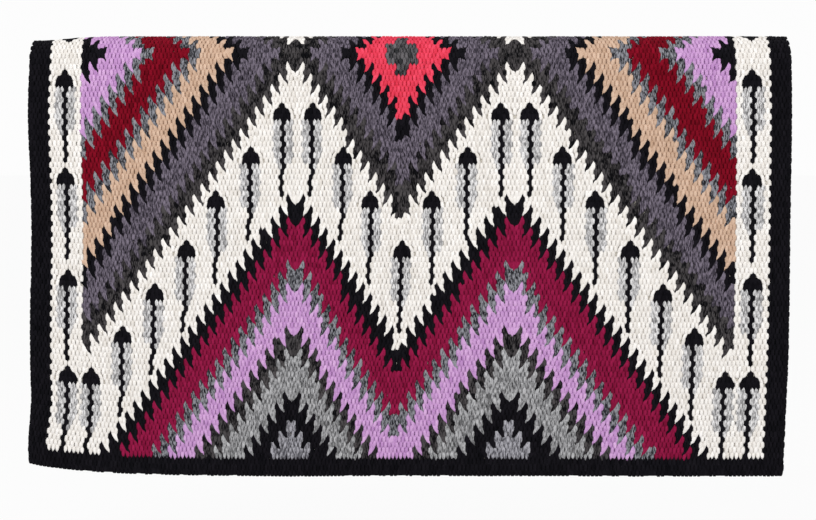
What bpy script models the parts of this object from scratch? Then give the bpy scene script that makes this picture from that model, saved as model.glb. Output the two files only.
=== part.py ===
"""Hand-woven saddle blanket, hung folded over a rail.

Metres, +Z up. The origin is the seat on the rail: the middle of the top facet inside the fold.
+X runs along the rail and the warps, and the front drop faces -Y.

The weave is a grid. Columns are wefts, counted along X from the left edge, and rows are warps, counted
from the spine, the line about which the pattern mirrors. The blanket hangs with its spine a little in
front of the rail's top, so the fold takes more rows from the back half than from the front half.
"""

from math import cos, pi, sin, sqrt

import bmesh
import bpy
from mathutils import Matrix, Vector

# The weave
BLANKET_WIDTH = 0.864
BLANKET_LENGTH = 0.965
COLUMNS = 380
HALF_ROWS = 77

# The thickness: warps between two faces of weft floats, which turn round the last warp at the hem
FLOAT_THICKNESS = 0.0019
WARP_THICKNESS = 0.0016
WARP_GROOVE = 0.0005
WARP_SHOULDER_SHARE = 0.25
HEM_TURN = 0.0015
SEAM_GAP = 0.0003

# The fold over the rail: strips of three warps
STRIP_ROWS = 3
STRIPS_EACH_SIDE = ("upper", "lower")
FRONT_FOLD_ROWS = 2

# The pattern, in columns and rows
BORDER_COLUMNS = 10
STRIPE_COLUMNS = 16
HEM_ROWS = 3
LEFT_PEAK_COLUMN = 134
ROWS_PER_COLUMN = 0.5

# Wool colours, linear
BLACK = (0.010, 0.010, 0.013)
CREAM = (0.84, 0.80, 0.73)
CRIMSON = (0.32, 0.010, 0.052)
DARK_RED = (0.27, 0.006, 0.012)
CORAL = (0.76, 0.032, 0.066)
TAN = (0.72, 0.47, 0.28)
LILAC = (0.55, 0.33, 0.62)
SLATE = (0.102, 0.080, 0.115)
CHARCOAL = (0.028, 0.024, 0.022)
GREY_HEATHER = (0.14, 0.14, 0.16)
LIGHT_GREY = (0.31, 0.31, 0.31)
HEM_SLATE = (0.20, 0.20, 0.23)
WARP_WOOL = (0.62, 0.58, 0.50)
WOOL_ROUGHNESS = 0.95

# Worked out from the sizes above
WEFT_PITCH = BLANKET_WIDTH / COLUMNS
WARP_PITCH = BLANKET_LENGTH / (2 * HALF_ROWS)
THICKNESS = 2 * (FLOAT_THICKNESS + SEAM_GAP) + WARP_THICKNESS
FOLD_STRIPS = 2 * len(STRIPS_EACH_SIDE) + 1
FOLD_ROWS = STRIP_ROWS * FOLD_STRIPS
BACK_FOLD_ROWS = FOLD_ROWS - FRONT_FOLD_ROWS
FOLD_RADIUS = FOLD_ROWS * WARP_PITCH / pi
INNER_RADIUS = FOLD_RADIUS - THICKNESS / 2
OUTER_RADIUS = FOLD_RADIUS + THICKNESS / 2
STRIP_ANGLE = pi / FOLD_STRIPS
FACET_ANGLE = STRIP_ANGLE / STRIP_ROWS
FIELD_START = BORDER_COLUMNS + STRIPE_COLUMNS
FIELD_END = COLUMNS - FIELD_START
CENTRE_COLUMN = COLUMNS / 2
RIGHT_PEAK_COLUMN = COLUMNS - LEFT_PEAK_COLUMN
HEM_START = HALF_ROWS - HEM_ROWS
SAME_POINT_SHARE = 1e-9

# A chevron band is named by its colour and by the rows, at the peaks, where it starts and ends. Rows
# above the spine are negative: those bands show only away from the peaks. ABOVE and BELOW lie outside
# the blanket.
ABOVE, BELOW = -HALF_ROWS, 2 * HALF_ROWS
SIDE_WEDGES = (
    ("lilac_wedge", ABOVE, -40, LILAC),
    ("upper_grey_line", -40, -36, GREY_HEATHER),
    ("red_wedge", -36, -28, DARK_RED),
    ("lower_grey_line", -28, -24, GREY_HEATHER),
    ("tan_wedge", -24, -16, TAN),
)
BROKEN_BANDS = (
    ("black_line", -16, -12, BLACK),
    ("slate_band", -12, -4, SLATE),
    ("charcoal_band", -4, 2, CHARCOAL),
)
WHOLE_BANDS = (
    ("cream_chevron", 2, 26, CREAM),
    ("black_chevron", 26, 30, BLACK),
    ("crimson_chevron", 30, 38, CRIMSON),
    ("grey_chevron", 38, 42, GREY_HEATHER),
    ("lilac_chevron", 42, 50, LILAC),
)
HEM_PEAKS = (
    ("charcoal_peak", 50, 54, CHARCOAL),
    ("light_grey_peak", 54, 62, LIGHT_GREY),
    ("black_peak", 62, 66, BLACK),
    ("slate_triangle", 66, BELOW, HEM_SLATE),
)

# The parts of the field that a broken band falls into, as columns
LEFT = (FIELD_START, LEFT_PEAK_COLUMN)
MIDDLE = (LEFT_PEAK_COLUMN, RIGHT_PEAK_COLUMN)
RIGHT = (RIGHT_PEAK_COLUMN, FIELD_END)
LEFT_HALF = (FIELD_START, CENTRE_COLUMN)
RIGHT_HALF = (CENTRE_COLUMN, FIELD_END)
FIELD = (FIELD_START, FIELD_END)


def clear_scene():
    for thing in list(bpy.data.objects):
        bpy.data.objects.remove(thing, do_unlink=True)


def wool(name, colour):
    """One piece's wool, as a dull surface."""
    material = bpy.data.materials.new(f"{name}_wool")
    material.use_nodes = True
    shader = material.node_tree.nodes["Principled BSDF"]
    shader.inputs["Base Color"].default_value = (*colour, 1)
    shader.inputs["Roughness"].default_value = WOOL_ROUGHNESS
    shader.inputs["Metallic"].default_value = 0
    material.diffuse_color = (*colour, 1)
    return material


def hinge_empty(name, place, parent):
    """An empty on a fold line, which carries all that turns about that line."""
    empty = bpy.data.objects.new(name, None)
    bpy.context.scene.collection.objects.link(empty)
    empty.parent = parent
    empty.location = place - origin_of(parent)
    bpy.context.view_layer.update()
    return empty


def origin_of(carrier):
    return carrier.matrix_world.translation if carrier else Vector()


def solid(name, outline, along, colour, carrier):
    """The flat outline extruded by the vector along, as one piece on its carrier."""
    origin = origin_of(carrier)
    shape = bmesh.new()
    face = shape.faces.new([shape.verts.new(point - origin) for point in outline])
    grown = bmesh.ops.extrude_face_region(shape, geom=[face])["geom"]
    ends = [part for part in grown if isinstance(part, bmesh.types.BMVert)]
    bmesh.ops.translate(shape, verts=ends, vec=along)
    bmesh.ops.recalc_face_normals(shape, faces=shape.faces)
    mesh = bpy.data.meshes.new(name)
    shape.to_mesh(mesh)
    shape.free()
    mesh.materials.append(wool(name, colour))
    piece = bpy.data.objects.new(name, mesh)
    bpy.context.scene.collection.objects.link(piece)
    piece.parent = carrier
    return piece


def column_x(column):
    return (column - CENTRE_COLUMN) * WEFT_PITCH


def climb(column):
    """Rows that a chevron lies further down here than at the nearer peak."""
    away = min(abs(column - LEFT_PEAK_COLUMN), abs(column - RIGHT_PEAK_COLUMN))
    return away * ROWS_PER_COLUMN


def chevron_outline(rise, columns, rows):
    """Outline, as (column, row) points, of the field between two chevrons.

    rise holds the rows of the two chevrons at the peaks, and the outline is cut to the columns and rows.
    """
    first, last = columns
    low, high = rows
    turns = {first, last, LEFT_PEAK_COLUMN, CENTRE_COLUMN, RIGHT_PEAK_COLUMN}
    for edge in rise:
        for row in rows:
            reach = (row - edge) / ROWS_PER_COLUMN
            for peak in (LEFT_PEAK_COLUMN, RIGHT_PEAK_COLUMN):
                turns |= {peak - reach, peak + reach}
    upper, lower = [], []
    for column in sorted(turn for turn in turns if first <= turn <= last):
        top = max(low, rise[0] + climb(column))
        bottom = min(high, rise[1] + climb(column))
        if bottom - top > -SAME_POINT_SHARE:
            upper.append((column, top))
        if bottom - top > SAME_POINT_SHARE:
            lower.append((column, bottom))
    return without_straight_points(upper + lower[::-1])


def without_straight_points(points):
    """The closed outline with only the points where it turns."""
    kept = []
    for index, (column, row) in enumerate(points):
        before = points[index - 1]
        after = points[(index + 1) % len(points)]
        coming = (column - before[0], row - before[1])
        going = (after[0] - column, after[1] - row)
        if abs(coming[0] * going[1] - coming[1] * going[0]) > SAME_POINT_SHARE:
            kept.append((column, row))
    return kept


def seamed(span, whole, pitch):
    """A span of the grid drawn in by half a seam gap at each end that has a neighbour."""
    low, high = span
    half = SEAM_GAP / 2 / pitch
    return (low + half if low > 0 else low, high - half if high < whole else high)


class Drop:
    """One hanging half of the blanket: where its grid lies, and what carries its pieces."""

    def __init__(self, side, facing, fold_rows, carrier):
        self.side = side
        self.facing = facing
        self.fold_rows = fold_rows
        self.carrier = carrier

    def z(self, row):
        return -INNER_RADIUS - (row - self.fold_rows) * WARP_PITCH

    def y(self, depth):
        """Place at this depth behind the outer face."""
        return self.facing * (OUTER_RADIUS - depth)

    def woven(self, name, points, colour):
        """A colour area of the outer face, from its outline in columns and rows."""
        outline = [Vector((column_x(column), self.y(0), self.z(row))) for column, row in points]
        inward = Vector((0, self.y(FLOAT_THICKNESS) - self.y(0), 0))
        solid(f"{self.side}_{name}", outline, inward, colour, self.carrier)

    def block(self, name, columns, rows, colour):
        """A rectangular colour area."""
        first, last = seamed(columns, COLUMNS, WEFT_PITCH)
        low, high = seamed(rows, HALF_ROWS, WARP_PITCH)
        self.woven(name, [(first, low), (last, low), (last, high), (first, high)], colour)

    def band(self, name, start, end, colour, columns=FIELD):
        """A chevron band of the field, drawn in by half a seam gap all round."""
        steepness = ROWS_PER_COLUMN * WARP_PITCH / WEFT_PITCH
        slant = SEAM_GAP / 2 / WARP_PITCH * sqrt(1 + steepness**2)
        rise = (start + slant, end - slant)
        columns = seamed(columns, COLUMNS, WEFT_PITCH)
        rows = seamed((self.fold_rows, HEM_START), HALF_ROWS, WARP_PITCH)
        self.woven(name, chevron_outline(rise, columns, rows), colour)

    def across(self, name, profile, colour):
        """A piece that runs the whole width, from its profile in depths and heights."""
        outline = [Vector((column_x(0), self.y(depth), z)) for depth, z in profile]
        solid(f"{self.side}_{name}", outline, Vector((BLANKET_WIDTH, 0, 0)), colour, self.carrier)

    def warps(self):
        """The warps side by side, each as thick as the core in its middle and thinner at its sides."""
        top = FLOAT_THICKNESS + SEAM_GAP
        bottom = top + WARP_THICKNESS
        end = self.z(HALF_ROWS) + HEM_TURN + SEAM_GAP
        start = self.z(self.fold_rows) - SEAM_GAP / 2
        rows = round(HALF_ROWS - self.fold_rows)
        pitch = (start - end) / rows
        outer, inner = [], []
        for row in range(rows):
            for share, groove in ((0, WARP_GROOVE), (WARP_SHOULDER_SHARE, 0), (1 - WARP_SHOULDER_SHARE, 0)):
                z = start - (row + share) * pitch
                outer.append((top + groove, z))
                inner.append((bottom - groove, z))
        outer.append((top + WARP_GROOVE, end))
        inner.append((bottom - WARP_GROOVE, end))
        self.across("warps", outer + inner[::-1], WARP_WOOL)

    def inner_floats(self):
        """The inner face of the wefts, with their turn round the last warp at the hem."""
        face = THICKNESS - FLOAT_THICKNESS
        behind = FLOAT_THICKNESS + SEAM_GAP
        start = self.z(self.fold_rows) - SEAM_GAP / 2
        hem = self.z(HALF_ROWS)
        turn = hem + HEM_TURN
        inside = [(THICKNESS, start), (face, start), (face, turn)]
        under = [(behind, turn), (behind, hem), (THICKNESS, hem)]
        self.across("inner_floats", inside + under, CHARCOAL)


def fold_strip(name, angle, carrier):
    """Three warps of the fold, centred at this angle round the rail, counted from the front.

    Outside the fold line its sides stand square, and inside it they point at the rail's axis, so
    neighbours stay clear of each other both folded and laid flat.
    """
    half_gap = SEAM_GAP / 2
    side = STRIP_ANGLE / 2
    corner = FACET_ANGLE / 2
    end = side - corner
    square = FOLD_RADIUS * sin(side) - half_gap
    fold = (square, (square * cos(side) + half_gap) / sin(side))
    outer_end = (square, (OUTER_RADIUS - square * sin(end)) / cos(end))
    reach = (INNER_RADIUS * sin(side) - half_gap * cos(end)) / cos(corner)
    inner_end = (reach, (INNER_RADIUS - reach * sin(end)) / cos(end))
    turns = [(row - STRIP_ROWS / 2) * FACET_ANGLE for row in range(1, STRIP_ROWS)]
    corners = [(sin(turn) / cos(corner), cos(turn) / cos(corner)) for turn in turns]
    outer = [(OUTER_RADIUS * across, OUTER_RADIUS * up) for across, up in corners]
    inner = [(INNER_RADIUS * across, INNER_RADIUS * up) for across, up in corners]
    right = [inner_end, fold, outer_end]
    left = [(-across, up) for across, up in right[::-1]]
    profile = inner + right + outer[::-1] + left
    lean = Matrix.Rotation(pi / 2 - angle, 3, "X")
    axis = Vector((column_x(0), 0, -INNER_RADIUS))
    outline = [axis + lean @ Vector((0, across, up)) for across, up in profile]
    solid(name, outline, Vector((BLANKET_WIDTH, 0, 0)), CHARCOAL, carrier)


def fold_line(angle):
    """A point of the fold line at this angle round the rail, at mid thickness."""
    return Vector((0, -FOLD_RADIUS * cos(angle), FOLD_RADIUS * sin(angle) - INNER_RADIUS))


def build_fold():
    """The strips over the rail, and the empties that carry the two drops."""
    fold_strip("crown_fold_strip", pi / 2, None)
    carriers = {}
    for side, turn in (("front", -STRIP_ANGLE), ("back", STRIP_ANGLE)):
        carrier, line = None, pi / 2 + turn / 2
        for place in STRIPS_EACH_SIDE:
            carrier = hinge_empty(f"{side}_{place}_fold_line", fold_line(line), carrier)
            fold_strip(f"{side}_{place}_fold_strip", line + turn / 2, carrier)
            line += turn
        carriers[side] = hinge_empty(f"{side}_drop_fold_line", fold_line(line), carrier)
    return carriers


def build_front_drop(carrier):
    """The drop that the photograph shows, with a piece for each colour area."""
    drop = Drop("front", -1, FRONT_FOLD_ROWS, carrier)
    drop.warps()
    drop.inner_floats()
    field_rows = (FRONT_FOLD_ROWS, HEM_START)
    drop.block("left_border", (0, BORDER_COLUMNS), field_rows, BLACK)
    drop.block("right_border", (COLUMNS - BORDER_COLUMNS, COLUMNS), field_rows, BLACK)
    drop.block("hem_border", (0, COLUMNS), (HEM_START, HALF_ROWS), BLACK)
    drop.block("left_stripe", (BORDER_COLUMNS, FIELD_START), field_rows, CREAM)
    drop.block("right_stripe", (FIELD_END, COLUMNS - BORDER_COLUMNS), field_rows, CREAM)
    drop.band("coral_diamond", ABOVE, -16, CORAL, MIDDLE)
    for side, columns in (("left", LEFT), ("right", RIGHT)):
        for name, start, end, colour in SIDE_WEDGES:
            drop.band(f"{side}_{name}", start, end, colour, columns)
    for side, columns in (("left", LEFT), ("middle", MIDDLE), ("right", RIGHT)):
        for name, start, end, colour in BROKEN_BANDS:
            drop.band(f"{side}_{name}", start, end, colour, columns)
    for name, start, end, colour in WHOLE_BANDS:
        drop.band(name, start, end, colour)
    for side, columns in (("left", LEFT_HALF), ("right", RIGHT_HALF)):
        for name, start, end, colour in HEM_PEAKS:
            drop.band(f"{side}_{name}", start, end, colour, columns)


def build_back_drop(carrier):
    """The drop behind the rail, with neighbouring colour areas taken together."""
    drop = Drop("back", 1, BACK_FOLD_ROWS, carrier)
    drop.warps()
    drop.inner_floats()
    field_rows = (BACK_FOLD_ROWS, HEM_START)
    top = BACK_FOLD_ROWS + SEAM_GAP / 2 / WARP_PITCH
    inside, past = BORDER_COLUMNS, COLUMNS - BORDER_COLUMNS
    border = [(0, top), (inside, top), (inside, HEM_START), (past, HEM_START), (past, top), (COLUMNS, top)]
    drop.woven("border", border + [(COLUMNS, HALF_ROWS), (0, HALF_ROWS)], BLACK)
    drop.block("left_stripe", (BORDER_COLUMNS, FIELD_START), field_rows, CREAM)
    drop.block("right_stripe", (FIELD_END, COLUMNS - BORDER_COLUMNS), field_rows, CREAM)
    drop.band("left_wedges", ABOVE, -16, DARK_RED, LEFT)
    drop.band("right_wedges", ABOVE, -16, DARK_RED, RIGHT)
    for side, columns in (("left", LEFT), ("middle", MIDDLE), ("right", RIGHT)):
        drop.band(f"{side}_slate_bands", -16, 2, SLATE, columns)
    drop.band("cream_chevron", 2, 26, CREAM)
    drop.band("crimson_chevrons", 26, 50, CRIMSON)
    drop.band("left_hem_peak", 50, BELOW, HEM_SLATE, LEFT_HALF)
    drop.band("right_hem_peak", 50, BELOW, HEM_SLATE, RIGHT_HALF)


clear_scene()
carriers = build_fold()
build_front_drop(carriers["front"])
build_back_drop(carriers["back"])
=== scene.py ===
from math import cos, pi, radians, sin, tau

import bmesh
import bpy
import numpy as np
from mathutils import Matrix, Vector


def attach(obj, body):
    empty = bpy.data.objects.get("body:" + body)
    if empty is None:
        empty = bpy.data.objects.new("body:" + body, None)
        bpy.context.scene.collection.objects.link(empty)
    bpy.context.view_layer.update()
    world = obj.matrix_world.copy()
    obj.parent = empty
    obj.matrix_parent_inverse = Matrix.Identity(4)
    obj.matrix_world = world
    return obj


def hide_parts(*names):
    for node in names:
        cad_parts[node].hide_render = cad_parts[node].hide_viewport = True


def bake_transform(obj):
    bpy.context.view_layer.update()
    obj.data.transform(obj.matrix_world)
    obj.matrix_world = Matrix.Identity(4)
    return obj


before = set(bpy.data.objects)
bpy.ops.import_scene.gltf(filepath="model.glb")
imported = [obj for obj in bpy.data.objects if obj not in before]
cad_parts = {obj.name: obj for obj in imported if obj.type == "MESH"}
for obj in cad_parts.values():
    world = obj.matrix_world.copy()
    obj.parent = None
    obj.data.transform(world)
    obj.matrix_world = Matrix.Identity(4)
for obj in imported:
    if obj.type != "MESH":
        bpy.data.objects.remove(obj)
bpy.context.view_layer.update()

# The warps: 154 wool yarns that run side by side across the blanket, parallel to the rail. They are its
# core, and every other yarn is woven over and under them. The blanket is folded over a round rail, with
# its spine, the line about which the pattern mirrors, hanging a little in front of the rail's top.
BLANKET_WIDTH = 0.864
BLANKET_LENGTH = 0.965
HALF_ROWS = 77
WARP_PITCH = BLANKET_LENGTH / (2 * HALF_ROWS)
THICKNESS = 0.006
CORE_THICKNESS = 0.0016
CORE_GROOVE = 0.0004
CORE_INSET = 0.004
FRONT_FOLD_ROWS = 2
BACK_FOLD_ROWS = 13
FOLD_RADIUS = (FRONT_FOLD_ROWS + BACK_FOLD_ROWS) * WARP_PITCH / pi
RAIL_RADIUS = FOLD_RADIUS - THICKNESS / 2

# A hand-woven and used blanket is no true rectangle. The pattern leans to the left in the middle, the
# right side bows outwards and its stripe is the wider one, the rows lie looser towards the hems, the
# front's left corner is pulled up and spread, and the cloth hangs in faint waves.
LEAN_TO_LEFT, LEAN_CENTRE, LEAN_REACH = 0.0075, 0.050, 0.150
LOW_LEAN, LOW_LEAN_REACH = 0.0095, 0.26
CORNER_LIFT, CORNER_REACH = 0.015, 0.07
CORNER_SPREAD, CORNER_SPREAD_REACH, CORNER_SPREAD_AT_EDGE = 0.016, 0.035, 0.4
CORNER_SPREAD_START, CORNER_SPREAD_RAMP = 0.40, 0.07
END_DROOP, END_DROOP_REACH = 0.005, 0.05
EDGE_WAVE, EDGE_WAVE_LENGTH, EDGE_WAVE_PHASE = 0.0016, 0.31, 0.8
TOP_PULL, TOP_PULL_REACH = 0.003, 0.05
TOP_PULL_START, TOP_PULL_RAMP = 0.30, 0.12
RIGHT_BOW, RIGHT_BOW_CENTRE, RIGHT_BOW_REACH = 0.0045, 0.19, 0.13
RIGHT_BOW_START, RIGHT_BOW_RAMP = 0.20, 0.15
STRIPE_EASE, STRIPE_EASE_START, STRIPE_EASE_RAMP = 0.0031, 0.37, 0.045
WAVE_DEPTH = 0.0016
WAVES = ((0.47, 0.6, 1), (0.21, 2.1, 0.5))
LOOSE_ROWS = 0.0023
HEM_ROWS = 3
HEM_SLACK = 0.003


def eased(share):
    """A share that starts and ends gently, from 0 to 1."""
    share = np.clip(share, 0, 1)
    return share * share * (3 - 2 * share)


def hung(across, down, out):
    """Points of the hung blanket from flat ones.

    across is counted from its middle, down from its spine, towards the back where negative, and out
    from its mid thickness.
    """
    front_end, back_end = FRONT_FOLD_ROWS * WARP_PITCH, -BACK_FOLD_ROWS * WARP_PITCH
    on_rail = np.clip(down, back_end, front_end)
    angle = (front_end - on_rail) / FOLD_RADIUS
    below = np.abs(down - on_rail)
    radius = FOLD_RADIUS + out
    from_left = across + BLANKET_WIDTH / 2
    low = eased(below / (HALF_ROWS * WARP_PITCH))
    lift = CORNER_LIFT * np.exp(-from_left / CORNER_REACH) * low * (down > 0)
    from_corner = from_left / CORNER_SPREAD_REACH
    spread = CORNER_SPREAD * (from_corner + CORNER_SPREAD_AT_EDGE) * np.exp(-from_corner)
    spread = spread * eased((down - CORNER_SPREAD_START) / CORNER_SPREAD_RAMP)
    droop = END_DROOP * np.exp(-((from_left / END_DROOP_REACH) ** 2)) * np.sin(angle) ** 2
    lean = LEAN_TO_LEFT * np.exp(-(((across - LEAN_CENTRE) / LEAN_REACH) ** 2))
    lean = lean + LOW_LEAN * low**3 * np.exp(-((across / LOW_LEAN_REACH) ** 2))
    edge = EDGE_WAVE * (2 * across / BLANKET_WIDTH) ** 3
    edge = edge * np.sin(tau * down / EDGE_WAVE_LENGTH + EDGE_WAVE_PHASE)
    pull = TOP_PULL * eased((-across - TOP_PULL_START) / TOP_PULL_RAMP)
    pull = pull * np.exp(-((down / TOP_PULL_REACH) ** 2))
    bow = RIGHT_BOW * eased((across - RIGHT_BOW_START) / RIGHT_BOW_RAMP)
    bow = bow * np.exp(-(((down - RIGHT_BOW_CENTRE) / RIGHT_BOW_REACH) ** 2))
    ease = STRIPE_EASE * eased((across - STRIPE_EASE_START) / STRIPE_EASE_RAMP)
    waves = [share * np.sin(tau * across / length + phase) for length, phase, share in WAVES]
    wave = WAVE_DEPTH * low * sum(waves)
    in_hem = (np.abs(down) / WARP_PITCH - HALF_ROWS + HEM_ROWS) / HEM_ROWS
    slack = LOOSE_ROWS * low + HEM_SLACK * eased(in_hem)
    x = across - lean - spread + edge + pull + bow + ease
    y = -radius * np.cos(angle) + wave
    z = radius * np.sin(angle) - RAIL_RADIUS - below + lift - droop - slack
    return np.stack([x, y, z], axis=-1)


# Every woven or wound piece is drawn up flat and then hung. It keeps its flat place as a map for its
# wool, and a tone between the wool's dark fibres and its light ones.
MIDDLE_TONE = 0.5


def new_piece(name, flat_points, faces, wools, wool_of_face=None, tone=None):
    """A smooth mesh piece from flat points (across, down, out), which keeps its flat place as a UV map."""
    mesh = bpy.data.meshes.new(name)
    corners = faces.shape[1]
    points = hung(*flat_points.T)
    mesh.vertices.add(len(points))
    mesh.vertices.foreach_set("co", points.astype(np.float32).ravel())
    mesh.loops.add(faces.size)
    mesh.loops.foreach_set("vertex_index", faces.astype(np.int32).ravel())
    mesh.polygons.add(len(faces))
    mesh.polygons.foreach_set("loop_start", np.arange(0, faces.size, corners, dtype=np.int32))
    for material in wools:
        mesh.materials.append(material)
    if wool_of_face is not None:
        mesh.polygons.foreach_set("material_index", wool_of_face.astype(np.int32))
    mesh.update()
    mesh.shade_smooth()
    flat = flat_points[faces.ravel(), :2].astype(np.float32)
    mesh.uv_layers.new(name="flat").data.foreach_set("uv", flat.ravel())
    tones = np.full(len(points), MIDDLE_TONE) if tone is None else tone
    mesh.attributes.new("tone", "FLOAT", "POINT").data.foreach_set("value", tones.astype(np.float32))
    piece = bpy.data.objects.new(name, mesh)
    bpy.context.scene.collection.objects.link(piece)
    return piece


# The wool: every yarn is spun of dark and light fibres, which show as streaks along it and as flecks.
# In the heathers these are small and stand out more, and no two floats have taken the dye quite alike.
FLECKS_PER_METRE = 420
FIBRES_PER_METRE = 2600
FIBRE_STRETCH = 0.22
NOISE_LOW, NOISE_HIGH = 0.3, 0.7
FIBRE_RELIEF, FIBRE_RELIEF_DEPTH = 0.5, 0.0002


def wool(name, dark, light, fleck=0.5, streak=0.4, flecks_per_metre=FLECKS_PER_METRE):
    """The material of a wool. fleck and streak say how far its flecks and fibres swing its colour."""
    material = bpy.data.materials.new(name)
    material.use_nodes = True
    nodes, links = material.node_tree.nodes, material.node_tree.links
    shader = nodes["Principled BSDF"]
    shader.inputs["Roughness"].default_value = 0.95
    shader.inputs["Specular IOR Level"].default_value = 0.08
    flat = nodes.new("ShaderNodeUVMap")
    flat.uv_map = "flat"
    along = nodes.new("ShaderNodeMapping")
    along.inputs["Scale"].default_value = (1, FIBRE_STRETCH, 1)
    links.new(flat.outputs["UV"], along.inputs["Vector"])
    tone = nodes.new("ShaderNodeAttribute")
    tone.attribute_name = "tone"
    share = tone.outputs["Fac"]
    for scale, spread in ((flecks_per_metre, fleck), (FIBRES_PER_METRE, streak)):
        noise = nodes.new("ShaderNodeTexNoise")
        noise.inputs["Scale"].default_value = scale
        noise.inputs["Detail"].default_value = 2
        links.new(along.outputs["Vector"], noise.inputs["Vector"])
        swing = nodes.new("ShaderNodeMapRange")
        swing.inputs["From Min"].default_value = NOISE_LOW
        swing.inputs["From Max"].default_value = NOISE_HIGH
        swing.inputs["To Min"].default_value = -spread / 2
        swing.inputs["To Max"].default_value = spread / 2
        links.new(noise.outputs["Fac"], swing.inputs["Value"])
        add = nodes.new("ShaderNodeMath")
        links.new(share, add.inputs[0])
        links.new(swing.outputs["Result"], add.inputs[1])
        share = add.outputs["Value"]
    colour = nodes.new("ShaderNodeMix")
    colour.data_type = "RGBA"
    colour.inputs["A"].default_value = (*dark, 1)
    colour.inputs["B"].default_value = (*light, 1)
    links.new(share, colour.inputs["Factor"])
    links.new(colour.outputs["Result"], shader.inputs["Base Color"])
    relief = nodes.new("ShaderNodeBump")
    relief.inputs["Strength"].default_value = FIBRE_RELIEF
    relief.inputs["Distance"].default_value = FIBRE_RELIEF_DEPTH
    links.new(noise.outputs["Fac"], relief.inputs["Height"])
    links.new(relief.outputs["Normal"], shader.inputs["Normal"])
    return material


# The six fold lines: each part of the fold lies between the middles of two neighbouring strips, given
# as rows, and the two drops hang from the last ones.
FOLD_PARTS = {
    "front_upper_fold_bend": ("crown", "front_upper_fold", -5.5, -2.5),
    "front_lower_fold_bend": ("front_upper_fold", "front_lower_fold", -2.5, 0.5),
    "front_drop_bend": ("front_lower_fold", "front_drop", 0.5, 3.5),
    "back_upper_fold_bend": ("crown", "back_upper_fold", -5.5, -8.5),
    "back_lower_fold_bend": ("back_upper_fold", "back_lower_fold", -8.5, -11.5),
    "back_drop_bend": ("back_lower_fold", "back_drop", -11.5, -14.5),
}
DROPS = {"front": (3.5, HALF_ROWS), "back": (-HALF_ROWS, -14.5)}


def bend(piece):
    """Bakes the piece's place into its mesh."""
    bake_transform(piece)


# The warps of each drop lie side by side in one ribbed sheet, which ends a little before the hem's turns.
# Those of each part of the fold have a sheet of their own.
CORE_STEPS_PER_ROW = 4
CORE_COLUMNS = 37
CORE_END_INSET = 0.4


def warp_core(name, first, last):
    """The warps from one row to another as one closed sheet."""
    rows = np.linspace(first, last, round((last - first) * CORE_STEPS_PER_ROW) + 1)
    columns = np.linspace(CORE_INSET - BLANKET_WIDTH / 2, BLANKET_WIDTH / 2 - CORE_INSET, CORE_COLUMNS)
    wide, tall = len(columns), len(rows)
    rib = CORE_THICKNESS / 2 - CORE_GROOVE * np.cos(pi * rows) ** 2
    across, down = np.meshgrid(columns, rows * WARP_PITCH)
    out = np.repeat(rib[:, None], wide, 1)
    sides = [np.stack([across, down, side * out], -1).reshape(-1, 3) for side in (1, -1)]
    points = np.concatenate(sides)
    index = np.arange(wide * tall).reshape(tall, wide)
    quads = np.stack([index[:-1, :-1], index[1:, :-1], index[1:, 1:], index[:-1, 1:]], -1).reshape(-1, 4)
    rim = np.concatenate([index[0, :], index[1:, -1], index[-1, -2::-1], index[-2:0:-1, 0]])
    following = np.roll(rim, -1)
    under = wide * tall
    walls = np.stack([rim, following, following + under, rim + under], -1)
    faces = np.concatenate([quads, quads[:, ::-1] + under, walls])
    return new_piece(name, points, faces, [warp_wool])


warp_wool = wool("warp_wool", (0.50, 0.46, 0.39), (0.72, 0.68, 0.60))
for drop, (first, last) in DROPS.items():
    end = last - CORE_END_INSET if drop == "front" else last
    start = first + CORE_END_INSET if drop == "back" else first
    core = warp_core(f"{drop}_warp_yarns", start, end)
    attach(core, f"{drop}_drop")
    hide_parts(f"{drop}_warps")
for part, (_, _, start, end) in FOLD_PARTS.items():
    core = warp_core(f"{part}_warp_yarns", min(start, end), max(start, end))
    bend(core)

# One float: where a weft yarn passes over a warp, it shows as a plump grain of wool, about two columns
# wide, that dives between the neighbouring warps at both ends. It is modelled once for the outer face,
# more plainly for the inner face, and with more rings where the wefts turn at the hem.
COLUMNS = 380
WEFT_PITCH = BLANKET_WIDTH / COLUMNS
FLOAT_HEIGHT = (THICKNESS - CORE_THICKNESS) / 2
FLOAT_SPREAD = 1.13
FLOAT_REACH = 0.83
FLOAT_TOP = 0.56
FLOAT_TIP = 0.12
WIDTH_FULLNESS, HEIGHT_FULLNESS = 2.4, 1.5


def select_where(piece, test):
    """Selects the vertices of the piece in edit mode that pass the test, and no others."""
    bpy.ops.mesh.select_mode(type="VERT")
    shape = bmesh.from_edit_mesh(piece.data)
    for vert in shape.verts:
        vert.select_set(test(vert.co))
    shape.select_flush(True)
    bmesh.update_edit_mesh(piece.data)


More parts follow.
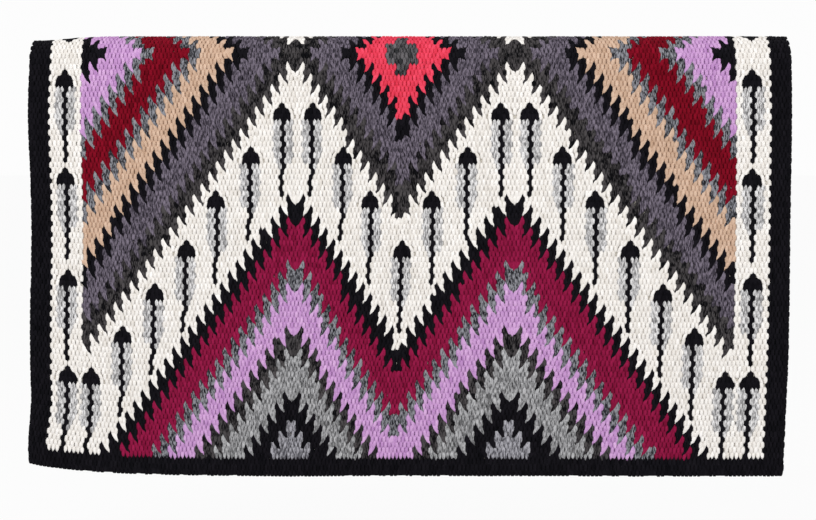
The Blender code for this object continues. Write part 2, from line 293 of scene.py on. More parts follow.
def model_float(rings, plain=False, reach=FLOAT_REACH):
    """The float's points, as across, along and up, and its triangles. It reaches that share of a row."""
    bpy.ops.object.select_all(action="DESELECT")
    bpy.ops.mesh.primitive_cube_add(size=2)
    piece = bpy.context.object
    bpy.ops.object.mode_set(mode="EDIT")
    size = (FLOAT_SPREAD * WEFT_PITCH, reach * WARP_PITCH, FLOAT_HEIGHT / 2)
    bpy.ops.transform.resize(value=size, center_override=(0, 0, 0))
    bpy.ops.transform.translate(value=(0, 0, FLOAT_HEIGHT / 2))
    bpy.ops.mesh.select_all(action="DESELECT")
    bpy.ops.mesh.select_mode(type="EDGE")
    shape = bmesh.from_edit_mesh(piece.data)
    for edge in shape.edges:
        edge.select_set(abs(edge.verts[0].co.y - edge.verts[1].co.y) > reach * WARP_PITCH)
    bmesh.update_edit_mesh(piece.data)
    bpy.ops.mesh.subdivide(number_cuts=rings)
    select_where(piece, lambda place: place.z > FLOAT_HEIGHT / 2)
    bpy.ops.transform.resize(value=(0 if plain else FLOAT_TOP, 1, 1), center_override=(0, 0, 0))
    for ring in range(1, rings + 1):
        share = 2 * ring / (rings + 1) - 1
        level = share * reach * WARP_PITCH
        select_where(piece, lambda place: abs(place.y - level) < WARP_PITCH / 100)
        width = cos(pi / 2 * abs(share) ** WIDTH_FULLNESS)
        height = cos(pi / 2 * abs(share) ** HEIGHT_FULLNESS)
        bpy.ops.transform.resize(value=(width, 1, height), center_override=(0, 0, 0))
    for end in (-1, 1):
        select_where(piece, lambda place: place.y * end > reach * WARP_PITCH * 0.99)
        bpy.ops.mesh.merge(type="CENTER")
        bpy.ops.transform.translate(value=(0, 0, (FLOAT_TIP - 0.5) * FLOAT_HEIGHT))
    bpy.ops.mesh.select_all(action="SELECT")
    bpy.ops.mesh.remove_doubles(threshold=WARP_PITCH / 1000)
    bpy.ops.mesh.quads_convert_to_tris()
    bpy.ops.mesh.normals_make_consistent(inside=False)
    bpy.ops.object.mode_set(mode="OBJECT")
    points = np.array([vert.co for vert in piece.data.vertices])
    triangles = np.array([face.vertices for face in piece.data.polygons])
    bpy.data.objects.remove(piece)
    return points, triangles


outer_float = model_float(rings=4)
inner_float = model_float(rings=2, plain=True, reach=1)
turn_float = model_float(rings=10, reach=1)

# The weave: each cell is one float, on the outer face or the inner one in turn, like the squares of a
# chessboard. The wefts are beaten so close that the floats of a row lie side by side, and those of the
# next row fit between their ends. wool_of says which wool each cell is woven in.
SIZE_SPREAD = (0.035, 0.04, 0.06)
LEAN_SPREAD = 0.045
SHIFT_SPREAD = 0.00012
TONE_SPREAD, WEFT_TONE_SPREAD = 0.13, 0.05

column, row = (part.ravel() for part in np.meshgrid(np.arange(COLUMNS), np.arange(-HALF_ROWS, HALF_ROWS)))
outer = (column + row) % 2 == 0
from_spine = np.abs(row + 0.5)
toward_spine = np.sign(row + 0.5)
middle = column + 0.5
chance = np.random.default_rng(5)
float_size = chance.normal(1, SIZE_SPREAD, (column.size, 3))
float_lean = chance.normal(0, LEAN_SPREAD, column.size)
float_shift = chance.normal(0, SHIFT_SPREAD, column.size)
float_slip = np.zeros(column.size)
float_taper = np.zeros(column.size)
float_tone = chance.normal(MIDDLE_TONE, TONE_SPREAD, column.size)
float_tone += chance.normal(0, WEFT_TONE_SPREAD, COLUMNS)[column]
wools = []
wool_of = np.full(column.size, -1)

# The fold holds rows -15 to 3, and the drops the others. A hem's last row is made of the turns alone.
ON_DROP = {"front": row >= 4, "back": row <= -16}
HEM_ROW = {"front": row == HALF_ROWS - 1, "back": row == -HALF_ROWS}
outer_pieces = {"front": [], "back": []}


def woven(name, cells):
    """A piece of cloth with a float on each of these cells, in the wool that each was given."""
    points, faces, tones, kinds = [], [], [], []
    count = 0
    for facing, (shape, triangles) in ((1, outer_float), (-1, inner_float)):
        here = np.flatnonzero(cells & (outer == (facing > 0)))
        if not len(here):
            continue
        size = float_size[here][:, None, :] * shape[None]
        size[..., 0] *= 1 - float_taper[here][:, None] * shape[None, :, 1] / (FLOAT_REACH * WARP_PITCH)
        across = (middle[here] - COLUMNS / 2) * WEFT_PITCH + float_shift[here]
        across = across[:, None] + size[..., 0] + float_lean[here][:, None] * size[..., 1]
        down = ((row[here] + 0.5 + float_slip[here]) * WARP_PITCH)[:, None] - size[..., 1]
        out = facing * (CORE_THICKNESS / 2 + size[..., 2])
        points.append(np.stack([across, down, out], -1).reshape(-1, 3))
        order = triangles if facing > 0 else triangles[:, ::-1]
        starts = count + np.arange(len(here)) * len(shape)
        faces.append((starts[:, None, None] + order[None]).reshape(-1, 3))
        tones.append(np.repeat(float_tone[here], len(shape)))
        kinds.append(np.repeat(wool_of[here], len(triangles)))
        count += len(here) * len(shape)
    kinds = np.concatenate(kinds)
    used = np.unique(kinds)
    materials = [wools[kind] for kind in used]
    return new_piece(
        name,
        np.concatenate(points),
        np.concatenate(faces),
        materials,
        np.searchsorted(used, kinds),
        np.concatenate(tones),
    )


def dye(cells, material, mottle=0):
    """Gives the cells that have no wool yet this one, mottled float by float, and says which they were."""
    taken = cells & (wool_of < 0)
    if material not in wools:
        wools.append(material)
    wool_of[taken] = wools.index(material)
    float_tone[taken] += chance.normal(0, mottle, taken.sum())
    return taken


def on_drop(name, cells, half, node):
    """The outer face of an area on one drop, if it reaches there, as a piece for its plain solid."""
    here = cells & outer & ON_DROP[half] & ~HEM_ROW[half]
    if not here.any():
        return
    piece = woven(name, here)
    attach(piece, f"{half}_drop")
    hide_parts(node)
    outer_pieces[half].append(piece)


# The border: black wool wefts along both sides and, as the last three rows, along both hems. They are
# woven in with all the others, and the hem's first row ends in points towards the field.
BORDER_COLUMNS = 10
POINT_STRETCH, POINT_SLIP, POINT_TAPER = 1.3, 0.14, 0.5

black = wool("black_wool", (0.001, 0.001, 0.002), (0.008, 0.007, 0.010))
in_hem = from_spine > HALF_ROWS - HEM_ROWS


def sharpen(cells, up):
    """Draws these cells' floats out to a point, towards the spine or, where up is -1, away from it."""
    way = up * toward_spine
    float_size[cells, 1] *= POINT_STRETCH
    float_slip[cells] -= POINT_SLIP * way[cells]
    float_taper[cells] += POINT_TAPER * way[cells]


sharpen(from_spine == HALF_ROWS - HEM_ROWS + 0.5, 1)
left_border = dye((middle < BORDER_COLUMNS) & ~in_hem, black)
right_border = dye((middle > COLUMNS - BORDER_COLUMNS) & ~in_hem, black)
hem_border = dye(in_hem, black)
on_drop("front_left_edge", left_border, "front", "front_left_border")
on_drop("front_right_edge", right_border, "front", "front_right_border")
on_drop("front_hem_edge", hem_border, "front", "front_hem_border")
on_drop("back_edges", left_border | right_border | hem_border, "back", "back_border")

# The steps of the pattern: each colour's wefts cover four columns, two pairs of picks, before they step
# two rows up or down from the nearer peak. The inner pair turns one row later than the outer one, which
# gives the edge its teeth, upright on the side away from the peak and slanting on the other.
STRIPE_COLUMNS = 16
FIELD_START = BORDER_COLUMNS + STRIPE_COLUMNS
FIELD_END = COLUMNS - FIELD_START
PEAKS = (134, 246)
TOOTH_COLUMNS = 4
TOOTH_ROWS = 2
VALLEY = (187, 190)
VALLEY_STEP = 14
TRIANGLE_INSET = 2

beside = np.array([column - peak for peak in PEAKS])
nearest = np.argmin(np.abs(beside), axis=0)
beside = np.take_along_axis(beside, nearest[None], 0)[0]

# The field's last column belongs to the pair before it. In the valley between the peaks, a little to the
# left of the middle, a few columns turn together and late, and so do both pairs on the spine, so that
# the points that meet there reach one tooth further.
in_last_column = column == FIELD_END - 1
beside[in_last_column] -= 1
in_valley = (column >= VALLEY[0]) & (column <= VALLEY[1])


def stepped(pull):
    """The cells' levels, and which are of an inner pair, with the steps pulled in by some columns.

    A level counts rows from the chevron that passes the peaks at the spine.
    """
    steps, within = np.divmod(np.maximum(np.abs(beside) - 1 + pull, 0), TOOTH_COLUMNS)
    steps[in_valley] = VALLEY_STEP
    inner_pair = (within < TOOTH_COLUMNS / 2) & ~in_valley
    return from_spine - 0.5 - TOOTH_ROWS * steps - (inner_pair | (from_spine < 1)), inner_pair


level, inner_pair = stepped(0)
narrow_level, narrow_pair = stepped(TRIANGLE_INSET)
in_left = column < PEAKS[0]
in_middle = (column >= PEAKS[0]) & (column <= PEAKS[1])
in_right = column > PEAKS[1]
PARTS = {"left": in_left, "middle": in_middle, "right": in_right}

# In places the steps come sooner or later than elsewhere, and so a band drifts. A drift is given by its
# flank of a peak, the level it starts from and the one it ends before, the column beside the peak from
# which it holds, and its pull.
DRIFTS = (
    ("left_outer", -44, -32, 77, 2),
    ("left_outer", -32, -20, 49, 2),
    ("left_outer", -20, -8, 93, 2),
    ("left_outer", 14, 28, 17, -2),
    ("left_outer", 46, 53, 9, -2),
    ("left_inner", -2, 14, 25, 2),
    ("left_inner", 28, 34, 25, 4),
    ("left_inner", 34, 48, 13, 2),
    ("left_inner", 34, 48, 23, 4),
    ("left_inner", 48, 58, 13, 2),
    ("right_inner", 14, 28, 9, -2),
    ("right_inner", 14, 28, 39, 0),
    ("right_inner", 28, 58, 25, 2),
    ("right_outer", -44, -32, 61, 2),
    ("right_outer", -44, -32, 91, 4),
    ("right_outer", -32, -2, 25, 2),
    ("right_outer", -32, -2, 55, 4),
    ("right_outer", -32, -2, 77, 6),
    ("right_outer", -2, 14, 25, 2),
    ("right_outer", 34, 48, 5, 2),
    ("right_outer", 34, 48, 11, 4),
    ("right_outer", 34, 48, 69, 2),
)
FLANKS = {
    "left_outer": in_left,
    "left_inner": in_middle & (column < VALLEY[0]),
    "right_inner": in_middle & (column > VALLEY[1]),
    "right_outer": in_right,
}

plain_level = level
for flank, start, end, first_column, pull in DRIFTS:
    drifted_level, drifted_pair = stepped(pull)
    here = FLANKS[flank] & (plain_level >= start) & (plain_level < end) & (np.abs(beside) >= first_column)
    level = np.where(here, np.clip(drifted_level, start, end - 1), level)
    inner_pair = np.where(here, drifted_pair, inner_pair)

# The field: at each edge, given as a level, another colour starts. The slate triangles over the hem have
# narrower steps of their own, and the diamond has no edges inside.
EDGES = (-48, -40, -36, -28, -24, -16, -12, -4, 2, 26, 30, 38, 42, 50, 54, 62)
DIAMOND_EDGE = -16
TRIANGLE_EDGE = 67
TRIANGLE_REACH = 12

in_field = (middle > FIELD_START) & (middle < FIELD_END)
in_triangle = in_field & (narrow_level >= TRIANGLE_EDGE) & (np.abs(beside) <= TRIANGLE_REACH)


def band(start, end):
    """The field's cells whose level is at least start and below end."""
    return (level >= start) & (level < end) & in_field


# Where two colours meet along an upright edge, their wefts pull each other straight: the floats on both
# sides of it move together, to the right in one row and to the left in the next.
SEAM_PULLS = (0.17, 0.17)

area = np.searchsorted(EDGES, np.where(in_middle, np.maximum(level, DIAMOND_EDGE), level), side="right")
area = np.where(in_field, area + in_triangle, -1).reshape(2 * HALF_ROWS, COLUMNS)
edge_before = (area != np.roll(area, 1, axis=1)) * np.where(outer.reshape(area.shape), 1, -1)
edge_before[:, 0] = 0
for distance, pull in enumerate(SEAM_PULLS):
    both_sides = np.roll(edge_before, distance, axis=1) + np.roll(edge_before, -1 - distance, axis=1)
    float_shift += pull * WEFT_PITCH * both_sides.ravel()

# The teeth: the float at each point is broad, long and tapered, leans outwards and slips forwards. Where
# it points away from the spine, into a notch, it leans more and sits nearer to the peak. The floats on a
# tooth's shoulders lean too, are a little larger and slip back.
TIP_LEAN = 0.30
NOTCH_LEAN = 0.50
NOTCH_SHIFT = 0.45 * WEFT_PITCH
SHOULDER_LEAN = 0.25
SHOULDER_WIDTH = 1.12
SHOULDER_STRETCH = 1.15
TOOTH_WIDTH = 1.45
TOOTH_STRETCH = 1.4
TOOTH_SLIP = 0.14
TOOTH_TAPER = 0.9

has_edge = in_field & ~(in_middle & (level < DIAMOND_EDGE - 1))
below_edge = has_edge & np.isin(level, EDGES)
above_edge = has_edge & np.isin(level + 1, EDGES)
at_point = np.where(inner_pair, above_edge, below_edge)
pointing = np.where(inner_pair, -1, 1) * toward_spine
tip_of_triangle = np.where(narrow_pair, narrow_level + 1 == TRIANGLE_EDGE, narrow_level == TRIANGLE_EDGE)
tip_of_triangle &= in_field & (np.abs(beside) <= TRIANGLE_REACH)
at_point |= tip_of_triangle
pointing[tip_of_triangle] = (np.where(narrow_pair, -1, 1) * toward_spine)[tip_of_triangle]
at_notch = at_point & (pointing != toward_spine)
at_shoulder = (below_edge | above_edge) & ~at_point
leaning = TIP_LEAN * at_point + (NOTCH_LEAN - TIP_LEAN) * at_notch + SHOULDER_LEAN * at_shoulder
outward = np.sign(beside)
float_slip -= TOOTH_SLIP * (below_edge | above_edge) * pointing
float_taper += TOOTH_TAPER * at_point * pointing
float_lean += leaning * outward * toward_spine
float_shift -= NOTCH_SHIFT * at_notch * outward
float_size[at_point, :2] *= (TOOTH_WIDTH, TOOTH_STRETCH)
float_size[at_shoulder, :2] *= (SHOULDER_WIDTH, SHOULDER_STRETCH)

# The feathers: small figures laid into the cream areas while these were woven, with a black head and
# quill and grey vanes. They climb the cream chevron one above another, and stand along both stripes.
# A head's row is given by its reach beside the crest, and its floats' width, lean and gathering.
FEATHER_STEP = 16
BAND_FEATHER_TIPS = {0: 34, 1: 25, 2: 17, 3: 9, 4: 9, 5: 17, 6: 25, 7: 34, 8: 42, 9: 50, 10: 58}
BAND_FEATHER_SHIFTS = {-5: 1, -4: 2, -3: 1, -2: 1, 2: 1, 3: 2}
STRIPE_FEATHER_TIPS = (3, 21, 40, 58)
HEAD_ROWS = ((0, 1.3, 0.20, -0.25), (3, 1.15, 0.17, 0.05), (4, 1.15, 0.08, 0.11))
ROUND_HEAD_COLUMNS = 2
HEAD_LEAN_COLUMNS = 2.5
VANE_ROWS = 13
VANE_COLUMNS = 5
VANE_TAPER_ROWS = 4
VANE_MOTTLE = 0.1
QUILL_ROWS = 17
QUILL_WIDTH = 1.15
QUILL_END_GATHER = 0.3 * WEFT_PITCH
HEATHER_FLECKS = 900

feathers = [
    (COLUMNS // 2 + side * step * FEATHER_STEP + BAND_FEATHER_SHIFTS.get(side * step, 0), tip)
    for step, tip in BAND_FEATHER_TIPS.items()
    for side in ((-1, 1) if step else (1,))
]
feathers += [
    (axis, tip)
    for axis in (BORDER_COLUMNS + STRIPE_COLUMNS // 2, COLUMNS - BORDER_COLUMNS - STRIPE_COLUMNS // 2)
    for tip in STRIPE_FEATHER_TIPS
]
feather_grey = wool("feather_grey", (0.23, 0.226, 0.23), (0.79, 0.78, 0.78), 1.5, 0.5, HEATHER_FLECKS)
dark_cells = np.zeros(column.size, bool)
grey_cells = np.zeros(column.size, bool)
for axis, tip in feathers:
    aside = np.abs(middle - axis)
    along = np.round(from_spine - 0.5 - tip)
    top_row = np.where(row >= 0, tip, -tip - 1)
    from_crest = column - (axis - (axis + top_row) % 2)
    head = np.zeros(column.size, bool)
    for step, (reach, width, lean, gather) in enumerate(HEAD_ROWS):
        in_head = (along == step) & (np.abs(from_crest) <= reach)
        round_head = (along == step) & (np.abs(from_crest) <= reach + ROUND_HEAD_COLUMNS)
        float_size[in_head, 0] *= width
        leaning = np.clip(from_crest, -HEAD_LEAN_COLUMNS, HEAD_LEAN_COLUMNS)
        float_lean -= lean * round_head * leaning * toward_spine
        float_shift -= gather * WEFT_PITCH * round_head * from_crest
        head |= in_head
    lowest_of_head = head & (along == len(HEAD_ROWS) - 1)
    sharpen(lowest_of_head, -1)
    quill = (along >= len(HEAD_ROWS)) & (along < VANE_ROWS) & (aside < 1)
    float_size[quill, 0] *= QUILL_WIDTH
    # In the field's left half the quill's end stands one column further to the left.
    from_end_axis = middle - axis + (FIELD_START < axis < COLUMNS / 2)
    quill_end = (along >= VANE_ROWS) & (along < QUILL_ROWS) & (np.abs(from_end_axis) < 1)
    float_shift -= QUILL_END_GATHER * quill_end * np.sign(from_end_axis)
    taper = np.clip((VANE_ROWS - along) / VANE_TAPER_ROWS, 0, 1)
    vane = (along >= len(HEAD_ROWS)) & (aside < VANE_COLUMNS * taper)
    dark_cells |= head | quill | quill_end
    grey_cells |= vane
dark_cells = dye(dark_cells, black)
grey_cells = dye(grey_cells, feather_grey, VANE_MOTTLE)
for half, node in (("front", "front_cream_chevron"), ("back", "back_cream_chevron")):
    on_drop(f"{half}_feather_quills", dark_cells, half, node)
    on_drop(f"{half}_feather_vanes", grey_cells, half, node)

# The cream stripes: cream wool wefts that run straight up both sides, between the border and the field.
# They are woven like the border, and hold the outer feathers.
cream = wool("cream_wool", (0.70, 0.66, 0.61), (0.925, 0.90, 0.875))
left_stripe = dye((middle > BORDER_COLUMNS) & (middle < FIELD_START), cream)
right_stripe = dye((middle > FIELD_END) & (middle < COLUMNS - BORDER_COLUMNS), cream)
for half in ("front", "back"):
    on_drop(f"{half}_left_cream_stripe", left_stripe, half, f"{half}_left_stripe")
    on_drop(f"{half}_right_cream_stripe", right_stripe, half, f"{half}_right_stripe")

# The wedges at both stripes, from the spine down: a black tip, then lilac, grey heather, dark red, grey
# heather again and tan, each a band of wefts that ends at the stripe.
lilac = wool("lilac_wool", (0.41, 0.200, 0.46), (0.67, 0.415, 0.69))
grey_heather = wool(
    "grey_heather_wool", (0.016, 0.017, 0.021), (0.265, 0.267, 0.295), 2.4, 0.6, HEATHER_FLECKS
)
dark_red = wool("dark_red_wool", (0.108, 0.001, 0.006), (0.235, 0.003, 0.016))
tan = wool("tan_wool", (0.46, 0.300, 0.205), (0.68, 0.490, 0.370))
BEYOND_ALL = 10 * HALF_ROWS
HEATHER_MOTTLE = 0.22
MOTTLES = {grey_heather: HEATHER_MOTTLE}
WEDGES = (
    ("tip", "lilac_wedge", -BEYOND_ALL, -48, black, "black_wool"),
    ("lilac_wedge", "lilac_wedge", -48, -40, lilac, "lilac_wool"),
    ("upper_grey_line", "upper_grey_line", -40, -36, grey_heather, "grey_heather_wool"),
    ("red_wedge", "red_wedge", -36, -28, dark_red, "dark_red_wool"),
    ("lower_grey_line", "lower_grey_line", -28, -24, grey_heather, "grey_heather_wool"),
    ("tan_wedge", "tan_wedge", -24, -16, tan, "tan_wool"),
)
for name, node, start, end, material, slot in WEDGES:
    for side in ("left", "right"):
        cells = dye(band(start, end) & PARTS[side], material, MOTTLES.get(material, 0))
        on_drop(f"front_{side}_{name}_wefts", cells, "front", f"front_{side}_{node}")
        on_drop(f"back_{side}_{name}_wefts", cells, "back", f"back_{side}_wedges")

# The diamond in the middle of the spine: coral red, with a small cross of dark heather in it. The cross
# has two bars, each given by half its columns and half its rows.
CROSS_BARS = ((8, 2), (3.5, 4))
coral = wool("coral_wool", (0.62, 0.028, 0.058), (0.85, 0.076, 0.138))
cross_wool = wool("cross_wool", (0.024, 0.025, 0.027), (0.145, 0.136, 0.145), 1.3, 0.4, HEATHER_FLECKS)
in_cross = np.zeros(column.size, bool)
for wide, tall in CROSS_BARS:
    in_cross |= (np.abs(middle - COLUMNS / 2) < wide) & (from_spine < tall)
dye(in_cross, cross_wool, HEATHER_MOTTLE)
diamond_cells = dye(band(-BEYOND_ALL, DIAMOND_EDGE) & in_middle, coral)
on_drop("front_diamond_wefts", diamond_cells, "front", "front_coral_diamond")
on_drop("back_diamond_wefts", diamond_cells, "back", "back_middle_slate_bands")

# Three bands that the spine cuts into a left, a middle and a right part: a black line, then a band of
# slate heather and one of charcoal, whose floats differ most from one another.
slate = wool("slate_wool", (0.034, 0.029, 0.040), (0.185, 0.158, 0.204), 1.7, 0.5, HEATHER_FLECKS)
charcoal = wool("charcoal_wool", (0.002, 0.002, 0.003), (0.068, 0.062, 0.064), 1.8, 0.4, HEATHER_FLECKS)
MOTTLES |= {slate: 0.12, charcoal: 0.32}
CUT_BANDS = (
    ("black_line", -16, -12, black, "black_wool"),
    ("slate_band", -12, -4, slate, "slate_wool"),
    ("charcoal_band", -4, 2, charcoal, "charcoal_wool"),
)
for name, start, end, material, slot in CUT_BANDS:
    for side, within in PARTS.items():
        cells = dye(band(start, end) & within, material, MOTTLES.get(material, 0))
        on_drop(f"front_{side}_{name}_wefts", cells, "front", f"front_{side}_{name}")
        on_drop(f"back_{side}_{name}_wefts", cells, "back", f"back_{side}_slate_bands")

# The chevrons that run unbroken from stripe to stripe: the broad cream one round the feathers, then
# black, crimson, grey heather and lilac.
crimson = wool("crimson_wool", (0.15, 0.003, 0.025), (0.31, 0.011, 0.065))
CHEVRONS = (
    ("cream_chevron", 2, 26, cream, "cream_wool", "back_cream_chevron"),
    ("black_chevron", 26, 30, black, "black_wool", "back_crimson_chevrons"),
    ("crimson_chevron", 30, 38, crimson, "crimson_wool", "back_crimson_chevrons"),
    ("grey_chevron", 38, 42, grey_heather, "grey_heather_wool", "back_crimson_chevrons"),
    ("lilac_chevron", 42, 50, lilac, "lilac_wool", "back_crimson_chevrons"),
)
for name, start, end, material, slot, back_node in CHEVRONS:
    cells = dye(band(start, end), material, MOTTLES.get(material, 0))
    on_drop(f"front_{name}_wefts", cells, "front", f"front_{name}")
    on_drop(f"back_{name}_wefts", cells, "back", back_node)

# The stacked peaks that stand on each hem, two on each: charcoal, light grey and black lines round a
# slate triangle, all cut off by the hem's black rows.
light_grey = wool("light_grey_wool", (0.11, 0.11, 0.114), (0.46, 0.46, 0.47), 1.3, 0.5, HEATHER_FLECKS)
hem_slate = wool("hem_slate_wool", (0.085, 0.083, 0.096), (0.39, 0.385, 0.42), 1.7, 0.5, HEATHER_FLECKS)
MOTTLES |= {light_grey: 0.12, hem_slate: 0.12}
HEM_PEAKS = (
    ("slate_triangle", in_triangle, hem_slate, "hem_slate_wool"),
    ("charcoal_peak", band(50, 54), charcoal, "charcoal_wool"),
    ("light_grey_peak", band(54, 62), light_grey, "light_grey_wool"),
    ("black_peak", band(62, BEYOND_ALL), black, "black_wool"),
)
for name, inside, material, slot in HEM_PEAKS:
    for side, within in (("left", middle < COLUMNS / 2), ("right", middle > COLUMNS / 2)):
        cells = dye(inside & within, material, MOTTLES.get(material, 0))
        on_drop(f"front_{side}_{name}_wefts", cells, "front", f"front_{side}_{name}")
        on_drop(f"back_{side}_{name}_wefts", cells, "back", f"back_{side}_hem_peak")

# The inner faces of the drops, where every weft shows again in its own colour on the other side of the
# warps.
inner_pieces = {"front": [], "back": []}
INNER_SLOTS = {
    "black_wool": (black,),
    "cream_wool": (cream,),
    "lilac_wool": (lilac,),
    "grey_heather_wool": (grey_heather, cross_wool),
    "dark_red_wool": (dark_red,),
    "tan_wool": (tan,),
    "coral_wool": (coral,),
    "slate_wool": (slate,),
    "charcoal_wool": (charcoal,),
    "crimson_wool": (crimson,),
    "light_grey_wool": (light_grey, feather_grey),
    "hem_slate_wool": (hem_slate,),
}
for half in ("front", "back"):
    for slot, materials in INNER_SLOTS.items():
        kinds = [wools.index(material) for material in materials]
        cells = np.isin(wool_of, kinds) & ~outer & ON_DROP[half] & ~HEM_ROW[half]
        if not cells.any():
            continue
        piece = woven(f"{half}_inner_{slot}_face", cells)
        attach(piece, f"{half}_drop")
        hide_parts(f"{half}_inner_floats")
        inner_pieces[half].append(piece)

# The fold over the rail: the same wefts go on over it, on both faces. Each of its six parts is a piece of
# its own, hung round the rail like the rest, which shows instead of the plain strips that it crosses.
FOLD_ROWS = {
    "front_upper_fold_bend": (-6, -4),
    "front_lower_fold_bend": (-3, -1),
    "front_drop_bend": (0, 3),
    "back_upper_fold_bend": (-9, -7),
    "back_lower_fold_bend": (-12, -10),
    "back_drop_bend": (-15, -13),
}
STRIPS = {
    "front_upper_fold_bend": ("crown_fold_strip", "front_upper_fold_strip"),
    "front_lower_fold_bend": ("front_upper_fold_strip", "front_lower_fold_strip"),
    "front_drop_bend": ("front_lower_fold_strip",),
    "back_upper_fold_bend": ("crown_fold_strip", "back_upper_fold_strip"),
    "back_lower_fold_bend": ("back_upper_fold_strip", "back_lower_fold_strip"),
    "back_drop_bend": ("back_lower_fold_strip",),
}
for part, (first, last) in FOLD_ROWS.items():
    piece = woven(f"{part}_wefts", (row >= first) & (row <= last))
    bend(piece)
    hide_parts(*STRIPS[part])

# The hem's turns: round the last warp every weft wraps from the outer face to the inner one, and comes
# back beside itself, so the hem ends in a row of slanting loops.
TURN_STRETCH = 1.2
TURN_WIDTH = 1.02
core_radius = CORE_THICKNESS / 2
quarter = core_radius * pi / 2
turn_centre = HALF_ROWS * WARP_PITCH - core_radius - FLOAT_HEIGHT
shape, triangles = turn_float
for half, sign in (("front", 1), ("back", -1)):
    here = np.flatnonzero(HEM_ROW[half] & outer)
    size = float_size[here][:, None, :] * shape[None]
    along = size[..., 1] * TURN_STRETCH
    bent = np.clip(along, -quarter, quarter)
    straight = np.abs(along - bent)
    angle = bent / core_radius
    across = ((middle[here] - COLUMNS / 2) * WEFT_PITCH)[:, None] + size[..., 0] * TURN_WIDTH
    across = across + WEFT_PITCH * eased(0.5 - along / WARP_PITCH / 2)
    down = turn_centre + (core_radius + size[..., 2]) * np.cos(angle) - straight
    out = (core_radius + size[..., 2]) * np.sin(angle)
    points = np.stack([across, sign * down, out], -1).reshape(-1, 3)
    starts = np.arange(len(here)) * len(shape)
    order = triangles if half == "front" else triangles[:, ::-1]
    faces = (starts[:, None, None] + order[None]).reshape(-1, 3)
    tones = np.repeat(float_tone[here], len(shape))
    turns = new_piece(f"{half}_hem_turns", points, faces, [black], tone=tones)
    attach(turns, f"{half}_drop")
    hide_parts({"front": "front_hem_border", "back": "back_border"}[half])
    outer_pieces[half].append(turns)

# The edge cords: two black yarns twisted round each other down each side, which hold the loops in which
# the warps turn back.
STRAND_RADIUS = 0.0016
STRAND_SPREAD = 0.0013
TWIST_ROWS = 2
STEPS_PER_ROW = 5
STRAND_SIDES = 7
CORD_END_INSET = 0.2


def edge_cords(name, first, last):
    """Both edge cords from one row to another, each strand a closed tube."""
    rows = np.linspace(first, last, round((last - first) * STEPS_PER_ROW) + 1)
    down = np.repeat(rows[:, None] * WARP_PITCH, STRAND_SIDES, 1)
    ring = np.arange(STRAND_SIDES)
    after = np.roll(ring, -1)
    around = tau * ring / STRAND_SIDES
    fan = np.stack([np.zeros(STRAND_SIDES - 2, int), ring[1:-1], ring[2:]], -1)
    points, faces, count = [], [], 0
    for side in (-1, 1):
        for start in (0, pi):
            twist = tau * rows / TWIST_ROWS + start
            centre = side * (BLANKET_WIDTH / 2 - STRAND_RADIUS - STRAND_SPREAD)
            across = centre + STRAND_SPREAD * np.cos(twist)[:, None] + STRAND_RADIUS * np.cos(around)[None]
            out = STRAND_SPREAD * np.sin(twist)[:, None] + STRAND_RADIUS * np.sin(around)[None]
            points.append(np.stack([across, down, out], -1).reshape(-1, 3))
            upper = count + np.arange(len(rows) - 1)[:, None] * STRAND_SIDES
            lower = upper + STRAND_SIDES
            quads = np.stack([upper + ring, upper + after, lower + after, lower + ring], -1).reshape(-1, 4)
            faces.append(np.concatenate([quads[:, [0, 1, 2]], quads[:, [0, 2, 3]]]))
            faces.append(fan[:, ::-1] + count)
            faces.append(fan + count + (len(rows) - 1) * STRAND_SIDES)
            count += len(rows) * STRAND_SIDES
    cords = new_piece(name, np.concatenate(points), np.concatenate(faces), [black])
    return cords


for half, (first, last) in DROPS.items():
    start = max(first, -HALF_ROWS + CORD_END_INSET)
    end = min(last, HALF_ROWS - CORD_END_INSET)
    cords = edge_cords(f"{half}_edge_cords", start, end)
    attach(cords, f"{half}_drop")
    outer_pieces[half].append(cords)
for part, (_, _, start, end) in FOLD_PARTS.items():
    bend(edge_cords(f"{part}_edge_cords", min(start, end), max(start, end)))

# The floor: one wide pale disc under the blanket, which is lightened where it is looked at, but keeps
# the blanket's shadow.
FLOOR_LEVEL = -0.60
FLOOR_RADIUS = 14.0
FLOOR_SIDES = 96
FLOOR_LIGHTENED = 0.92


def looked_at(nodes, links, share):
    """This share where a camera looks, straight, in a reflection or through glass, and 0 elsewhere."""
    path = nodes.new("ShaderNodeLightPath")
    seen = path.outputs["Is Camera Ray"]
    for way in ("Is Glossy Ray", "Is Transmission Ray"):
        either = nodes.new("ShaderNodeMath")
        either.operation = "MAXIMUM"
        links.new(seen, either.inputs[0])
        links.new(path.outputs[way], either.inputs[1])
        seen = either.outputs["Value"]
    lightened = nodes.new("ShaderNodeMath")
    lightened.operation = "MULTIPLY"
    lightened.inputs[1].default_value = share
    links.new(seen, lightened.inputs[0])
    return lightened.outputs["Value"]


pale_floor = bpy.data.materials.new("pale_floor")
pale_floor.use_nodes = True
nodes, links = pale_floor.node_tree.nodes, pale_floor.node_tree.links
nodes["Principled BSDF"].inputs["Base Color"].default_value = (0.80, 0.80, 0.80, 1)
nodes["Principled BSDF"].inputs["Roughness"].default_value = 0.95
glow = nodes.new("ShaderNodeEmission")
glow.inputs["Color"].default_value = (1, 1, 1, 1)
glow.inputs["Strength"].default_value = 1
mixed = nodes.new("ShaderNodeMixShader")
links.new(looked_at(nodes, links, FLOOR_LIGHTENED), mixed.inputs["Fac"])
links.new(nodes["Principled BSDF"].outputs["BSDF"], mixed.inputs[1])
links.new(glow.outputs["Emission"], mixed.inputs[2])
links.new(mixed.outputs["Shader"], nodes["Material Output"].inputs["Surface"])

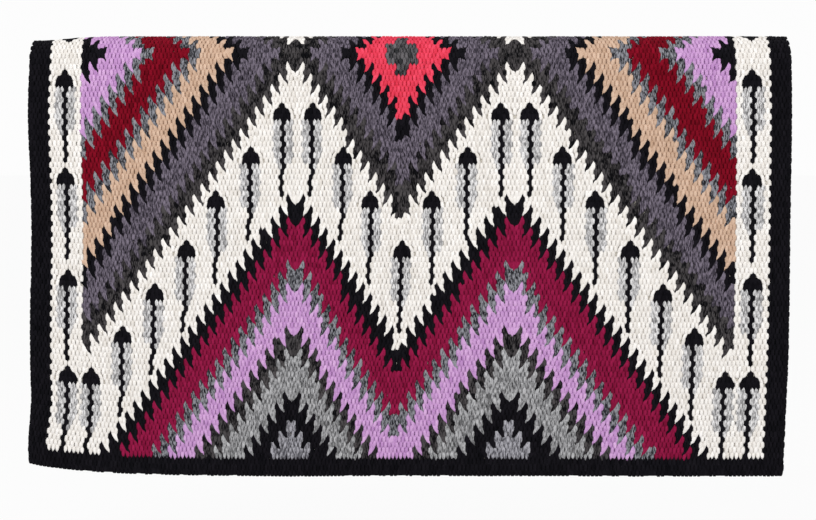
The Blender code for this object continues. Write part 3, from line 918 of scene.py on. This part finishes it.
bpy.ops.object.select_all(action="DESELECT")
bpy.ops.mesh.primitive_circle_add(
    vertices=FLOOR_SIDES, radius=FLOOR_RADIUS, fill_type="NGON", location=(0, 0, FLOOR_LEVEL)
)
floor = bpy.context.object
floor.name = "floor"
floor.data.materials.append(pale_floor)

# The light: a pale sky all round, which shows white where it is looked at, a large soft lamp high on the
# left, a weaker one on the right and a faint one overhead.
SKY_LIGHT = 0.615
SKY_SEEN = 0.98
LAMP_AIM = Vector((0, 0, -0.2))
LAMPS = (
    ("key", (-1.3, -2.2, 1.2), 1.6, 32.5),
    ("fill", (1.8, -2.4, 0.2), 1.8, 23.5),
    ("top", (0.0, -0.2, 1.8), 1.4, 6.5),
)

world = bpy.data.worlds.new("studio")
bpy.context.scene.world = world
world.use_nodes = True
nodes, links = world.node_tree.nodes, world.node_tree.links
nodes["Background"].inputs["Color"].default_value = (1, 1, 1, 1)
nodes["Background"].inputs["Strength"].default_value = SKY_LIGHT
backdrop = nodes.new("ShaderNodeBackground")
backdrop.inputs["Color"].default_value = (1, 1, 1, 1)
backdrop.inputs["Strength"].default_value = SKY_SEEN
mixed = nodes.new("ShaderNodeMixShader")
links.new(looked_at(nodes, links, 1), mixed.inputs["Fac"])
links.new(nodes["Background"].outputs["Background"], mixed.inputs[1])
links.new(backdrop.outputs["Background"], mixed.inputs[2])
links.new(mixed.outputs["Shader"], nodes["World Output"].inputs["Surface"])

for name, place, size, power in LAMPS:
    lamp = bpy.data.lights.new(name, "AREA")
    lamp.size = size
    lamp.energy = power
    holder = bpy.data.objects.new(name, lamp)
    holder.location = place
    holder.rotation_euler = (LAMP_AIM - Vector(place)).to_track_quat("-Z", "Y").to_euler()
    bpy.context.scene.collection.objects.link(holder)

# The camera: almost square on to the front drop, a little above it, and three times as far away as the
# blanket is wide.
CAMERA_TARGET = Vector((0.0005, -0.0329, -0.2505))
CAMERA_DISTANCE = 2.6
CAMERA_RISE = radians(4)
VIEW_WIDTH = 0.936
SENSOR = 36

camera = bpy.data.cameras.new("camera")
camera.sensor_width = SENSOR
camera.lens = SENSOR * CAMERA_DISTANCE / VIEW_WIDTH
viewer = bpy.data.objects.new("camera", camera)
toward = Vector((0, -cos(CAMERA_RISE), sin(CAMERA_RISE)))
viewer.location = CAMERA_TARGET + toward * CAMERA_DISTANCE
viewer.rotation_euler = (-toward).to_track_quat("-Z", "Y").to_euler()
bpy.context.scene.collection.objects.link(viewer)
bpy.context.scene.camera = viewer
bpy.context.scene.view_settings.view_transform = "Standard"

bpy.context.view_layer.update()
